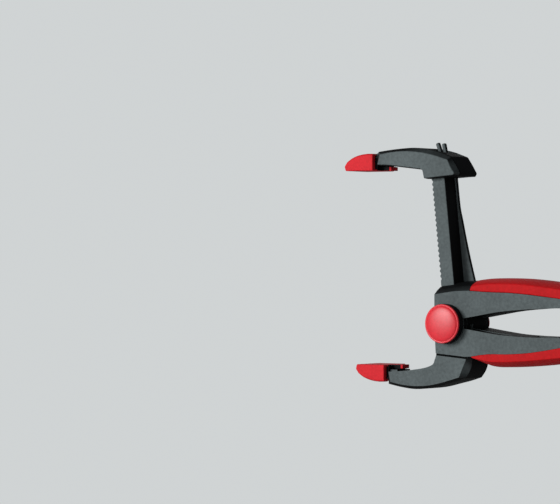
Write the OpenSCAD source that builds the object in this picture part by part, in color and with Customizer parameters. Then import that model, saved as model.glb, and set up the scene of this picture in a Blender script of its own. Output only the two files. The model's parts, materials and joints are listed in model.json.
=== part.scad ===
// Lever spring clamp with a sliding upper jaw.
// +Z up, +X towards the handles, the levers turn about Y.
// The origin is the centre of the lower jaw's gripping face.

/* [Jaws] */
// Opening between the gripping faces, set by where the upper jaw sits on the rail
jaw_opening = 101; // [55:1:101]
// Thickness of the jaw arms across Y
jaw_t = 22.5; // [21:0.5:23]
// Width of the neck that carries each pad
neck_t = 12.6; // [11:0.2:12.8]

/* [Levers] */
// Thickness of the lever bodies across Y
body_t = 25.6; // [25.4:0.2:27]
// Skin that the soft grip leaves over the core of the handle
grip_skin = 2.6; // [2:0.1:3]
// Width of the rib-stiffened channel under each handle
channel_w = 10; // [8:1:11]

/* [Rail] */
// Lean of the rail towards the jaws, in degrees
rail_lean = 6; // [5.5:0.1:6.5]
// Thickness of the rail across Y
rail_t = 12.6; // [12:0.2:13]
// Pitch of the locking teeth
tooth_pitch = 2.64; // [2.4:0.04:3]
// Depth of the locking teeth
tooth_depth = 0.8; // [0.5:0.1:1]
// Thickness of the stiffening web behind the toothed bar
web_t = 2.2; // [1.8:0.1:2.4]

/* [Pivot] */
// Radius of the hub, its collars and its caps
hub_r = 10.1; // [9.8:0.1:10.2]
// Radius of the pivot pin
pin_r = 3; // [2.6:0.1:3.2]
// Height of each black collar
collar_h = 4.3; // [4:0.1:5]

/* [Spring] */
// Diameter of the spring wire
wire_d = 2.4; // [2:0.1:2.4]
// Mean radius of the coil
coil_r = 6.5; // [6.3:0.1:6.6]
// Full turns of the coil
coil_turns = 3; // [2:1:3]
// Length of each straight leg
leg_len = 34; // [24:1:36]

/* [Hidden] */
$fn = 64;

// Clearances: a running fit on a pin, a slide fit on the rail, and a seat inside one body
run_fit = 0.05;
slide_fit = 0.3;
seat_fit = 0.02;

// Pivot axis, seen from the centre of the lower gripping face
pivot_at = [44, 0, 22];
half_t = body_t / 2;
half_jaw = jaw_t / 2;

// Hub stack across Y: spring chamber, inner cheek of the lower lever, outer cheek of the upper
chamber_y = 6.6;
inner_cheek_y = 9.6;
outer_cheek_y = 9.8;
chamber_r = coil_r + wire_d / 2 + 0.5;
hub_gap_r = hub_r + 0.3;

// Rail, in its own leaning frame: x from the pivot axis, s up along the rail
rail_front = -5.5;
rail_back = 2.5;
rail_foot = 19.35;
rail_top = 87.6;
tang_foot = 12.4;
web_y = 3.8;
web_edge = [[8.9, rail_foot], [6.9, 32], [5.5, 42.4], [4.3, 53], [3.5, 60], [3.4, 74],
    [3.4, rail_top]];
full_opening = 101;
jaw_drop = (full_opening - jaw_opening) / cos(rail_lean);
jaw_travel = 53;

// Pads: each turns on a pin, and both are the same moulding
pad_half_w = 10.8;
pad_face = 4.9;
pad_pin_r = 1.2;
neck_r = 2.3;
upper_pad_at = [-50, full_opening - 22 + pad_face];
lower_pad_at = [-43, -22 - pad_face];

span_steps = 4;

// ---------- curves and lofts ----------

function slope(p, i) = (p[min(i + 1, len(p) - 1)] - p[max(i - 1, 0)]) / 2;

function between(a, b, da, db, t) =
    a * (2 * t ^ 3 - 3 * t ^ 2 + 1) + da * (t ^ 3 - 2 * t ^ 2 + t)
    + b * (3 * t ^ 2 - 2 * t ^ 3) + db * (t ^ 3 - t ^ 2);

// A smooth run through its stations, without the last one; two stations make a straight run
function run(p) = len(p) == 2 ? [p[0]] :
    [for (i = [0 : len(p) - 2], k = [0 : span_steps - 1])
        between(p[i], p[i + 1], slope(p, i), slope(p, i + 1), k / span_steps)];

// Runs end to end, with a corner where one meets the next
function course(runs) = let (last = runs[len(runs) - 1])
    concat([for (r = runs) each run(r)], [last[len(last) - 1]]);

// Solid limb along X between two flank forms. A station is its [low, high] point, each [x, z].
// The face is the flank at both ends of the layers, the crown is what stands out between.
// Each layer is [y, share of the crown].
module limb(face, crown, layers) {
    f = course(face);
    c = course(crown);
    n = len(f);
    top = len(layers) - 1;
    points = [for (layer = layers, i = [0 : n - 1], side = [0, 1])
        let (q = f[i][side] + (c[i][side] - f[i][side]) * layer[1]) [q.x, layer[0], q.y]];
    function low(k, i) = 2 * (k * n + i);
    function high(k, i) = low(k, i) + 1;
    flanks = [for (i = [0 : n - 2])
        each [[low(0, i), high(0, i), high(0, i + 1), low(0, i + 1)],
            [low(top, i + 1), high(top, i + 1), high(top, i), low(top, i)]]];
    skin = [for (k = [0 : top - 1], i = [0 : n - 2])
        each concat(wall(high(k, i), high(k, i + 1), high(k + 1, i), high(k + 1, i + 1)),
            wall(low(k, i + 1), low(k, i), low(k + 1, i + 1), low(k + 1, i)))];
    ends = [for (k = [0 : top - 1])
        each concat(wall(low(k, 0), high(k, 0), low(k + 1, 0), high(k + 1, 0)),
            wall(high(k, n - 1), low(k, n - 1), high(k + 1, n - 1), low(k + 1, n - 1)))];
    polyhedron(points, concat(flanks, skin, ends));
}

// Two triangles over the edge a to b and the edge c to d of the next layer
function wall(a, b, c, d) = [[b, a, c], [b, c, d]];

// Layers of a crowned moulding: a steep flank, then a shallow crown
function crowned(half) = [for (s = [[-1, 0], [-0.75, 0.45], [-0.5, 0.78], [-0.2, 0.97],
    [0.2, 0.97], [0.5, 0.78], [0.75, 0.45], [1, 0]]) [s[0] * half, s[1]]];

// Layers of a flat-sided moulding with a broad chamfer
function chamfered(half, depth) = [[-half, 0], [depth - half, 1], [half - depth, 1], [half, 0]];

// Plate from an [x, z] outline, between two heights on Y
module plate(points, y0, y1) {
    translate([0, y1, 0]) rotate([90, 0, 0]) linear_extrude(y1 - y0) polygon(points);
}

// Round bar along Y
module bar(r, y0, y1) {
    translate([0, y1, 0]) rotate([90, 0, 0]) cylinder(r = r, h = y1 - y0);
}

module at(p) {
    translate([p.x, 0, p.y]) children();
}

module from_pivot() {
    translate(pivot_at) children();
}

// The rail's leaning frame: children use [x, s] as [x, z]
module on_rail() {
    rotate([0, -rail_lean, 0]) children();
}

// The sliding jaw's place on the rail
module on_jaw() {
    on_rail() translate([0, 0, -jaw_drop]) rotate([0, rail_lean, 0]) children();
}

// ---------- levers ----------

// Where the soft grip starts on each handle, from the body to the handle's end
upper_seam = [[13.2, 16.8], [24, 16.2], [36, 15.9], [48, 15], [60, 13.7], [72, 12.4],
    [84, 11.2], [96, 9.6], [102, 7]];
lower_seam = [[14, -16.6], [24, -15.2], [36, -15], [48, -14.1], [60, -12.3], [72, -10.2],
    [84, -8.7], [96, -7.5], [102, -5.6]];

// Inner edges of the handles, from the hub to the handle's end
upper_inner = [[10.3, 2.9], [21, 4.8], [32, 6.5], [44, 7.6], [56, 8.2], [68, 8.5], [80, 8.3],
    [92, 7.5], [102, 6.4]];
lower_inner = [[10.4, -2.5], [21, -4.1], [32, -5.5], [44, -6.2], [56, -6.4], [68, -6.3],
    [80, -6.1], [92, -5.7], [102, -5]];

// A handle's stations: its inner edge and its seam, from the body to the handle's end
function handle(inner, seam) = [for (i = [0 : len(seam) - 1]) [inner[i], seam[i]]];

upper_handle = handle(upper_inner, upper_seam);
upper_body_face = [
    [[[-7.5, 6.8], [-7.5, 14.9]], [[-1.5, 5.5], [-1.5, 15.8]], [[5, 4.1], [5, 16.6]],
        [[10.2, 2.9], [13.1, 16.9]]],
    [[[10.2, 2.9], [13.1, 16.9]], upper_handle[0]],
    upper_handle];
upper_body_crown = [
    [[[-7.5, 6.8], [-7.6, 19.8]], [[-1.5, 5.5], [-1.5, 20.7]], [[5, 4.1], [5, 21.6]],
        [[10.2, 2.9], [13.1, 22.2]]],
    [[[10.2, 2.9], [13.1, 22.2]], upper_handle[0]],
    upper_handle];

// Closed outline of the lower body: inner edge out to the end, seam back, then the front
lower_body_outline = concat([[-7.2, -6.6]], course([lower_inner]), turned(course([lower_seam])),
    [[10.8, -16.8], [-6.7, -15.3]]);

function turned(p) = [for (i = [len(p) - 1 : -1 : 0]) p[i]];

// Lower jaw arm: the low points are its outer side, the high points its throat side
lower_arm_face = [
    [[[-35.1, -30.7], [-36.3, -25.5]], [[-28, -32], [-29, -25]], [[-20.5, -32.5], [-22, -24.2]],
        [[-13, -32.1], [-14.5, -23]], [[-5.5, -30.7], [-9.6, -21.2]], [[0.5, -29.1], [-8.3, -18.8]],
        [[6.2, -27.4], [-7.4, -16.5]]],
    [[[6.2, -27.4], [-7.4, -16.5]], [[8.6, -22], [-7.2, -14.8]], [[10.3, -18], [-7.1, -13.6]],
        [[10.3, -12], [-7, -12.4]]]];
lower_arm_crown = [
    [[[-38, -31.9], [-38, -26]], [[-30, -33.4], [-29, -25.6]], [[-21.5, -34.2], [-22, -24.8]],
        [[-12.5, -33.4], [-14.5, -23.6]], [[-4, -31.4], [-9.8, -21.8]], [[2.5, -29.8], [-8.5, -19.3]],
        [[8.2, -28], [-7.4, -16.8]]],
    [[[8.2, -28], [-7.4, -16.8]], [[10.8, -24.4], [-7.2, -15]], [[12.2, -20], [-7.1, -13.8]],
        [[12.4, -12], [-7, -12.4]]]];

// Soft grips: each starts on its handle's seam, a hair clear of it
seam_gap = [0.02, 0.05];
upper_grip_face = [
    over(upper_seam, [[14.2, 19.1], [22, 20.2], [33, 20.5], [44, 20.1], [55, 19.1], [66, 17.8],
        [78, 16.4], [91, 15.8], [102.5, 15.7]]),
    [[[102.02, 7.05], [102.5, 15.7]], [[105, 6.6], [108.5, 14.6]], [[109.6, 7.4], [111, 11]]]];
upper_grip_crown = [
    over(upper_seam, [[13.4, 22.3], [21, 23.1], [32, 23.3], [43, 23], [54, 22.1], [65, 20.8],
        [78, 19.4], [91, 18.8], [104, 18.9]]),
    [[[102.02, 7.05], [104, 18.9]], [[106, 6], [112, 17]], [[111.8, 7], [114, 11.5]]]];
lower_grip_face = [
    under(lower_seam, [[14.6, -17.2], [24, -18.9], [33, -19], [44, -18.4], [55, -17.4],
        [66, -16.3], [78, -15.2], [91, -14.6], [102.5, -14.3]]),
    [[[102.5, -14.3], [102.02, -5.65]], [[108.5, -13], [105, -5.2]], [[111, -9.5], [109.6, -5.9]]]];
lower_grip_crown = [
    under(lower_seam, [[14.8, -18.6], [22.5, -21.8], [32, -22], [43, -21.5], [54, -20.6],
        [65, -19.4], [78, -18.2], [91, -17.6], [104, -17.4]]),
    [[[104, -17.4], [102.02, -5.65]], [[112, -15.4], [106, -4.6]], [[114, -10], [111.8, -5.6]]]];

function over(seam, outer) = [for (i = [0 : len(seam) - 1]) [seam[i] + seam_gap, outer[i]]];
function under(seam, outer) =
    [for (i = [0 : len(seam) - 1]) [outer[i], [seam[i].x + seam_gap.x, seam[i].y - seam_gap.y]]];

// Core of each handle, hidden in its grip
upper_core = [[16, 12], [16, 19.4], [24, 20.3], [36, 20.4], [50, 19.5], [64, 18], [78, 16.5],
    [92, 15.9], [99, 15.6], [99, 7.6], [80, 10], [50, 11]];
lower_core = [[20, -12], [20, -18], [28, -19], [40, -18.8], [52, -17.9], [64, -16.6],
    [78, -15.3], [92, -14.7], [99, -14.2], [99, -5.9], [80, -8], [50, -10]];
core_half = half_t - 2 * grip_skin;

// Channel along a handle's inner side, with cross ribs left standing
channel_start = 44;
channel_end = 94;
upper_roof = [[channel_end, 9.4], [80, 12], [64, 14], [channel_start, 16]];
lower_roof = [[channel_end, -7.4], [80, -9.6], [64, -12], [channel_start, -14]];
rib_pitch = 14;
rib_t = 1.6;

module handle_channel(roof) {
    difference() {
        plate(concat([[channel_start, 0], [channel_end, 0]], roof), -channel_w / 2, channel_w / 2);
        for (x = [channel_start + rib_pitch : rib_pitch : channel_end - 2])
            translate([x - rib_t / 2, -channel_w, -body_t])
                cube([rib_t, 2 * channel_w, 2 * body_t]);
    }
}

// Slot in a handle that a spring leg lies in, open towards the other handle
leg_room = 0.3;
slot_depth = 16;

module leg_slot(side) {
    half_w = wire_d / 2 + leg_room;
    from_coil = leg_line(side, 0);
    tip = leg_line(side, leg_len) + [1, 0];
    seat = half_w * [-sin(leg_lift), side * cos(leg_lift)];
    inward = [0, -side];
    plate([from_coil + seat, tip + seat, tip + inward * slot_depth, from_coil + inward * 4],
        side * leg_y - half_w, side * leg_y + half_w);
}

module upper_lever() {
    color("dimgray") from_pivot() difference() {
        union() {
            limb(upper_body_face, upper_body_crown, crowned(half_t));
            plate(upper_core, -core_half, core_half);
            for (s = [-1, 1]) bar(hub_r, min(s * outer_cheek_y, s * (half_t - seat_fit)),
                max(s * outer_cheek_y, s * (half_t - seat_fit)));
        }
        bar(hub_gap_r, -outer_cheek_y, outer_cheek_y);
        bar(pin_r + run_fit, -half_t - 1, half_t + 1);
        handle_channel(upper_roof);
        leg_slot(1);
        on_rail() rail_solid(slide_fit / 6);
    }
}

module lower_lever() {
    color("dimgray") from_pivot() difference() {
        union() {
            plate(lower_body_outline, -half_t, half_t);
            limb(lower_arm_face, lower_arm_crown, chamfered(half_jaw, 3));
            plate(lower_core, -core_half, core_half);
            bar(hub_r, -inner_cheek_y, inner_cheek_y);
            at(lower_pad_at) mirror([0, 0, 1]) neck();
        }
        for (s = [-1, 1]) bar(hub_gap_r, min(s * inner_cheek_y, s * (half_t + 1)),
            max(s * inner_cheek_y, s * (half_t + 1)));
        bar(chamber_r, -chamber_y, chamber_y);
        bar(pin_r + seat_fit, -half_t, half_t);
        handle_channel(lower_roof);
        leg_slot(-1);
        leg_window();
        at(lower_pad_at) bar(pad_pin_r + run_fit, -half_t, half_t);
    }
}

// Window in the hub wall that the upper leg swings through
window_from = 32;
window_to = 114;

module leg_window() {
    reach = 2 * hub_r;
    swing = [for (k = [0 : 4]) window_from + (window_to - window_from) * k / 4];
    plate(concat([[0, 0]], [for (a = swing) reach * [cos(a), sin(a)]]),
        leg_y - wire_d / 2 - leg_room, chamber_y);
}

module upper_grip() {
    color("crimson") from_pivot() difference() {
        limb(upper_grip_face, upper_grip_crown, crowned(half_t));
        grip_pocket(upper_core);
    }
}

module lower_grip() {
    color("crimson") from_pivot() difference() {
        limb(lower_grip_face, lower_grip_crown, crowned(half_t));
        grip_pocket(lower_core);
    }
}

module grip_pocket(core) {
    translate([0, core_half + seat_fit, 0]) rotate([90, 0, 0])
        linear_extrude(2 * (core_half + seat_fit)) offset(delta = seat_fit) polygon(core);
}

// ---------- rail ----------

// Scalloped front edge of the rail, from its foot to its top
tooth_count = floor((rail_top - rail_foot - 4) / tooth_pitch);
function tooth(i) = let (s = rail_foot + 2.4 + i * tooth_pitch) [[rail_front, s],
    [rail_front, s + 0.3 * tooth_pitch],
    [rail_front + 0.8 * tooth_depth, s + 0.45 * tooth_pitch],
    [rail_front + tooth_depth, s + 0.65 * tooth_pitch],
    [rail_front + 0.8 * tooth_depth, s + 0.85 * tooth_pitch]];
rail_outline = concat([[rail_back, rail_foot], [rail_front, rail_foot]],
    [for (i = [0 : tooth_count - 1]) each tooth(i)],
    [[rail_front, rail_top - 1], [rail_front + 1, rail_top], [rail_back, rail_top]]);
web_outline = concat([[rail_back - 1, rail_top], [rail_back - 1, rail_foot]], run(web_edge),
    [[3.4, rail_top]]);

// Outer form of the rail's foot, grown by gap: the seat that the upper lever gives it
module rail_solid(gap) {
    plate([[rail_front - 4, rail_foot - gap], [rail_back + gap, rail_foot - gap],
        [rail_back + gap, 40], [rail_front - 4, 40]], -rail_t / 2 - gap, rail_t / 2 + gap);
    plate([[rail_back, rail_foot - gap], [9 + gap, rail_foot - gap], [9 + gap, 40],
        [rail_back, 40]], web_y - gap, web_y + web_t + gap);
    tang(gap);
}

module tang(gap) {
    plate([[rail_front + 1.4 - gap, tang_foot - gap], [rail_back - 0.6 + gap, tang_foot - gap],
        [rail_back - 0.6 + gap, rail_foot], [rail_front + 1.4 - gap, rail_foot]],
        -4.5 - gap, 4.5 + gap);
}

finger_t = 1.8;
finger_w = 2.2;

// Snap finger on the rail's top that stops the jaw
module finger(x, lean, reach) {
    translate([x, 0, rail_top - 1]) rotate([0, -lean, 0])
        translate([-finger_t / 2, -finger_w / 2, 0]) cube([finger_t, finger_w, reach]);
}

module toothed_rail() {
    color("dimgray") from_pivot() on_rail() {
        plate(rail_outline, -rail_t / 2, rail_t / 2);
        plate(web_outline, web_y, web_y + web_t);
        tang(0);
        finger(-1.4, 15, 7.5);
        finger(1, 5.6, 6.6);
    }
}

// ---------- sliding jaw ----------

// Sliding jaw: arm, the corner down to the foot that rides on the rail, then its sloping back
jaw_face = [
    [[[-43.2, 82], [-41.7, 87.2]], [[-36, 81.7], [-35, 88.3]], [[-29, 80.9], [-26.5, 88.7]],
        [[-22, 80.1], [-20, 88.2]], [[-17.3, 79.5], [-15.5, 87.6]]],
    [[[-17.3, 79.5], [-15.5, 87.6]], [[-16, 78.7], [-13.6, 87.2]], [[-15.5, 77.2], [-11.5, 86.8]]],
    [[[-15.5, 77.2], [-11.5, 86.8]], [[-14.9, 74.5], [-8.5, 86.1]]],
    [[[-14.9, 74.5], [-8.5, 86.1]], [[-4, 75.5], [-0.8, 83.8]]],
    [[[-4, 75.5], [-0.8, 83.8]], [[-0.5, 75.8], [0.9, 80.1]], [[2.5, 76.1], [3.1, 77.1]]]];
jaw_crown = [
    [[[-44.6, 81.6], [-44.6, 88.8]], [[-36, 81.2], [-36, 89.8]], [[-29, 80.4], [-26, 90.5]],
        [[-22, 79.6], [-20, 90.4]], [[-17, 79], [-15, 89.9]]],
    [[[-17, 79], [-15, 89.9]], [[-15.6, 78.2], [-12.8, 89.5]], [[-15.1, 76.8], [-10.6, 89]]],
    [[[-15.1, 76.8], [-10.6, 89]], [[-14.4, 73.6], [-7, 88.1]]],
    [[[-14.4, 73.6], [-7, 88.1]], [[-2, 74.7], [0, 85.6]]],
    [[[-2, 74.7], [0, 85.6]], [[1.5, 74.9], [3, 81.2]], [[4.6, 75.2], [5.5, 77]]]];

// Bed in the jaw for the rail's section over the whole travel
module rail_way() {
    g = slide_fit;
    low = rail_foot + 0.2;
    plate([[rail_front - g, 60], [rail_back + g, 60], [rail_back + g, 100], [rail_front - g, 100]],
        -rail_t / 2 - g, rail_t / 2 + g);
    translate([0, 0, jaw_travel])
        plate(concat([[rail_back, low + 20], [rail_back, low - 4]],
            [for (p = run(web_edge)) if (p.y < low + 20) p + [g, 0]]),
            web_y - g, rail_t / 2 + g);
    plate([[rail_back, 86], [6.4, 84], [6.4, 100], [rail_back, 100]], web_y - g, rail_t / 2 + g);
}

shoe_low = 77.6;
shoe_high = 84.4;
shoe_back = rail_front - 2.6;
shoe_half = 4;
drag_low = 77.5;
drag_high = 84.5;
drag_y = [-5, 2.6];
drag_t = 0.4;

module sliding_jaw() {
    color("dimgray") from_pivot() on_jaw() difference() {
        union() {
            limb(jaw_face, jaw_crown, chamfered(half_jaw, 3));
            at(upper_pad_at) neck();
        }
        on_rail() {
            rail_way();
            plate([[shoe_back - seat_fit, shoe_low - seat_fit], [0, shoe_low - seat_fit],
                [0, shoe_high + seat_fit], [shoe_back - seat_fit, shoe_high + seat_fit]],
                -shoe_half - seat_fit, shoe_half + seat_fit);
            plate([[0, drag_low - 0.2], [rail_back + 2, drag_low - 0.2],
                [rail_back + 2, drag_high + 0.2], [0, drag_high + 0.2]],
                drag_y[0] - 0.2, drag_y[1] + 0.2);
        }
        at(upper_pad_at) bar(pad_pin_r + run_fit, -half_t, half_t);
    }
}

// Toothed shoe that bites the rail when the loaded jaw tilts
module lock_shoe() {
    teeth = [for (s = [shoe_low : tooth_pitch / 2 : shoe_high]) s];
    front = rail_front - slide_fit;
    edge = [for (i = [0 : len(teeth) - 1]) [front - (i % 2 == 0 ? tooth_depth : 0), teeth[i]]];
    color("silver") from_pivot() on_jaw() on_rail()
        plate(concat([[shoe_back, shoe_low]], edge, [[front - tooth_depth, shoe_high],
            [shoe_back, shoe_high]]), -shoe_half, shoe_half);
}

// Bowed leaf behind the rail that keeps the unloaded jaw from dropping
module drag_spring() {
    bow = 1.2;
    seat = rail_back + 1.8;
    function leaf(x, s) = [for (a = [0 : 15 : 180]) [x - bow * sin(a), s + (drag_high - drag_low - 0.4)
        * (1 - cos(a)) / 2 + 0.2]];
    outer = leaf(seat, drag_low);
    inner = leaf(seat - drag_t, drag_low);
    color("silver") from_pivot() on_jaw() on_rail()
        plate(concat(outer, [for (i = [len(inner) - 1 : -1 : 0]) inner[i]]), drag_y[0], drag_y[1]);
}

// ---------- pads, in a frame at their pin with the gripping face down ----------

neck_half = neck_t / 2;

// Neck of a jaw arm, with the round end that the pad turns on
module neck() {
    bar(neck_r, -neck_half, neck_half);
    plate([[0, -neck_r], [9, -2.4], [9, 3], [5.6, 4.6], [4.4, 4.2], [3.2, 2.5], [0, neck_r]],
        -neck_half, neck_half);
}

toe_end = 3.5;

function toe(tops, nose) = [[for (i = [0 : len(tops) - 1])
    [[i == 0 ? nose : tops[i].x, -pad_face], tops[i]]]];
toe_face = toe([[-13.8, -2.6], [-12.2, -0.6], [-9.4, 1.1], [-6.4, 2.3], [-3.2, 3], [0, 3.3],
    [toe_end, 3.2]], -13.2);
toe_crown = toe([[-14.3, -2.4], [-12.8, -0.1], [-9.8, 1.8], [-6.6, 3], [-3.3, 3.7], [0, 4],
    [toe_end, 3.9]], -13.6);
tail_end = 10.4;
tail_half = 3.3;
sole_top = -4;
plate_top = -2.7;
lip_t = 1.3;
lip_top = -2.9;
ear_in = neck_half + 0.3;
ear_out = ear_in + 1.6;

// Soft pad: the toe, and a thin sole and an end lip round the carrier's tail
module pad() {
    difference() {
        limb(toe_face, toe_crown, chamfered(pad_half_w, 1.2));
        carrier_form(seat_fit);
        plate([[-8.6, sole_top], [20, sole_top], [20, 2.9], [-5, 2.9], [-8.6, 1]], -ear_in, ear_in);
        plate([[-0.8, 0], [20, 0], [20, 8], [-0.8, 8]], -neck_half - 0.4, neck_half + 0.4);
    }
    plate([[toe_end, seat_fit - pad_face], [tail_end, seat_fit - pad_face], [tail_end, lip_top],
        [tail_end - lip_t, lip_top], [tail_end - lip_t, sole_top - seat_fit],
        [toe_end, sole_top - seat_fit]], -tail_half, tail_half);
}

// Outer form of the hard carrier: base plate, tail and two ears
module carrier_form(gap) {
    ear = [[-4.2, sole_top], [toe_end + gap, sole_top], [toe_end + gap, 0.6], [1.6, 2.4 + gap],
        [-1.6, 2.4 + gap], [-4.2 - gap, 0]];
    plate([[-8.4 - gap, sole_top - gap], [toe_end + gap, sole_top - gap],
        [toe_end + gap, plate_top], [-8.4 - gap, plate_top]], -ear_out - gap, ear_out + gap);
    plate([[0, sole_top - gap], [tail_end - lip_t - seat_fit, sole_top - gap],
        [tail_end - lip_t - seat_fit, plate_top + gap], [0, plate_top + gap]],
        -tail_half - gap, tail_half + gap);
    for (s = [-1, 1]) plate(ear, min(s * (ear_in - gap), s * (ear_out + gap)),
        max(s * (ear_in - gap), s * (ear_out + gap)));
}

module pad_carrier() {
    difference() {
        carrier_form(0);
        bar(pad_pin_r + seat_fit, -half_t, half_t);
    }
}

module pad_pin() {
    bar(pad_pin_r, -ear_out, ear_out);
}

module upper_pad_place() {
    from_pivot() on_jaw() at(upper_pad_at) children();
}

module lower_pad_place() {
    from_pivot() at(lower_pad_at) mirror([0, 0, 1]) children();
}

module upper_pad() {
    color("red") upper_pad_place() pad();
}

module upper_pad_carrier() {
    color("black") upper_pad_place() pad_carrier();
}

module upper_pad_pin() {
    color("silver") upper_pad_place() pad_pin();
}

module lower_pad() {
    color("red") lower_pad_place() pad();
}

module lower_pad_carrier() {
    color("black") lower_pad_place() pad_carrier();
}

module lower_pad_pin() {
    color("silver") lower_pad_place() pad_pin();
}

// ---------- spring ----------

leg_lift = 8;
leg_y = chamber_y - wire_d / 2 - 0.4;
rings_per_turn = 8;
wire_sides = 6;

// Point [x, z] on a leg's middle line, t from where it leaves the coil; side 1 is the upper leg
function leg_line(side, t) = [t * cos(leg_lift) - coil_r * sin(leg_lift),
    side * (coil_r * cos(leg_lift) + t * sin(leg_lift))];

coil_start = 90 + leg_lift;
coil_sweep = 360 * coil_turns + 180 - 2 * leg_lift;
coil_rings = ceil(coil_sweep / 360 * rings_per_turn);

// Middle line: in along the upper leg, round the coil, out along the lower leg
wire_line = concat(
    [for (t = [leg_len, 0.6]) [leg_line(1, t).x, leg_y, leg_line(1, t).y]],
    [for (i = [0 : coil_rings]) let (a = coil_start + coil_sweep * i / coil_rings)
        [coil_r * cos(a), leg_y - 2 * leg_y * i / coil_rings, coil_r * sin(a)]],
    [for (t = [0.6, leg_len]) [leg_line(-1, t).x, -leg_y, leg_line(-1, t).y]]);

function unit(v) = v / norm(v);
function heading(line, i) = unit(line[min(i + 1, len(line) - 1)] - line[max(i - 1, 0)]);

// Tube swept along a line whose rings stay upright to Y
module tube(line, d, sides) {
    n = len(line);
    points = [for (i = [0 : n - 1]) let (h = heading(line, i), u = unit([0, 1, 0] - h * h.y),
        v = cross(h, u)) for (k = [0 : sides - 1]) let (a = 360 * k / sides)
        line[i] + d / 2 * (u * cos(a) + v * sin(a))];
    walls = [for (i = [0 : n - 2], k = [0 : sides - 1])
        let (a = i * sides + k, b = i * sides + (k + 1) % sides)
        each [[b, a, a + sides], [b, a + sides, b + sides]]];
    polyhedron(points, concat([[for (k = [0 : sides - 1]) k]], walls,
        [[for (k = [sides - 1 : -1 : 0]) (n - 1) * sides + k]]));
}

// Least distance between wire surfaces of turns that aren't next to each other on the wire
coil_gap = min([for (i = [0 : coil_rings - 6], j = [i + 6 : coil_rings])
    norm(wire_line[i + 2] - wire_line[j + 2])]) - wire_d;
echo(str("least gap of the spring wire to itself, mm: ", coil_gap));

module torsion_spring() {
    color("silver") from_pivot() tube(wire_line, wire_d, wire_sides);
}

module spring_bush() {
    color("ivory") from_pivot() difference() {
        bar(coil_r - wire_d / 2 - 0.9, -chamber_y + 0.1, chamber_y - 0.1);
        bar(pin_r + seat_fit, -half_t, half_t);
    }
}

// ---------- pivot ----------

floor_y = half_t + 0.1;
floor_t = 1.4;
collar_top = floor_y + collar_h;
well_r = 6.4;
far_hub_r = well_r + 1.1;
pin_head_r = 5;
pin_head_t = 1.4;
groove_y = floor_y + floor_t + 0.1;
clip_t = 0.8;
near_dome_h = 1.5;
far_dome_h = 1.1;

// Part of the pivot on one side: y grows outwards from the middle of the clamp
module on_side(side) {
    mirror([0, side < 0 ? 1 : 0, 0]) rotate([-90, 0, 0]) children();
}

module pivot_pin() {
    color("silver") from_pivot() difference() {
        union() {
            bar(pin_r, -groove_y - 0.2, groove_y + 2.2);
            on_side(-1) translate([0, 0, groove_y]) cylinder(r = pin_head_r, h = pin_head_t);
        }
        on_side(1) translate([0, 0, groove_y - 0.05]) difference() {
            cylinder(r = pin_r + 1, h = clip_t + 0.1);
            translate([0, 0, -1]) cylinder(r = pin_r - 0.5, h = clip_t + 2);
        }
    }
}

module pin_clip() {
    color("silver") from_pivot() on_side(1) translate([0, 0, groove_y]) difference() {
        cylinder(r = pin_head_r, h = clip_t);
        translate([0, 0, -1]) cylinder(r = pin_r - 0.5 + seat_fit, h = clip_t + 2);
    }
}

module collar(side, edge) {
    on_side(side) difference() {
        translate([0, 0, floor_y]) rotate_extrude() polygon([[0, 0], [edge - 0.2, 0],
            [edge, 0.3], [edge, collar_h - 0.3], [edge - 0.2, collar_h], [0, collar_h]]);
        cylinder(r = pin_r + seat_fit, h = collar_top + 1);
        translate([0, 0, floor_y + floor_t]) cylinder(r = well_r, h = collar_h);
    }
}

module near_collar() {
    color("black") from_pivot() collar(-1, hub_r);
}

module far_collar() {
    color("black") from_pivot() collar(1, far_hub_r);
}

// Domed cap: a low crown on a rounded rim, with a ring that plugs into the collar's well
module cap(side, edge, dome_h) {
    rim = edge - 0.1;
    edge_r = 0.8;
    dome = [for (a = [0 : 9 : 90]) [(rim - edge_r) * sin(a), 1 + dome_h * cos(a)]];
    on_side(side) translate([0, 0, collar_top]) rotate_extrude()
        polygon(concat([[0, 0]], [[0, 1 + dome_h]], [for (p = dome) if (p.x > 0.5) p],
            [[rim - 0.25, 0.75], [rim, 0.3], [rim, 0], [well_r - 0.1, 0], [well_r - 0.1, -1],
            [well_r - 1.1, -1], [well_r - 1.1, 0]]));
}

module near_cap() {
    color("crimson") from_pivot() cap(-1, hub_r, near_dome_h);
}

module far_cap() {
    color("crimson") from_pivot() cap(1, far_hub_r, far_dome_h);
}

lower_lever();
lower_grip();
upper_lever();
upper_grip();
toothed_rail();
sliding_jaw();
lock_shoe();
drag_spring();
upper_pad();
upper_pad_carrier();
upper_pad_pin();
lower_pad();
lower_pad_carrier();
lower_pad_pin();
torsion_spring();
spring_bush();
pivot_pin();
pin_clip();
near_collar();
far_collar();
near_cap();
far_cap();
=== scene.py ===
import json
import math

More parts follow.
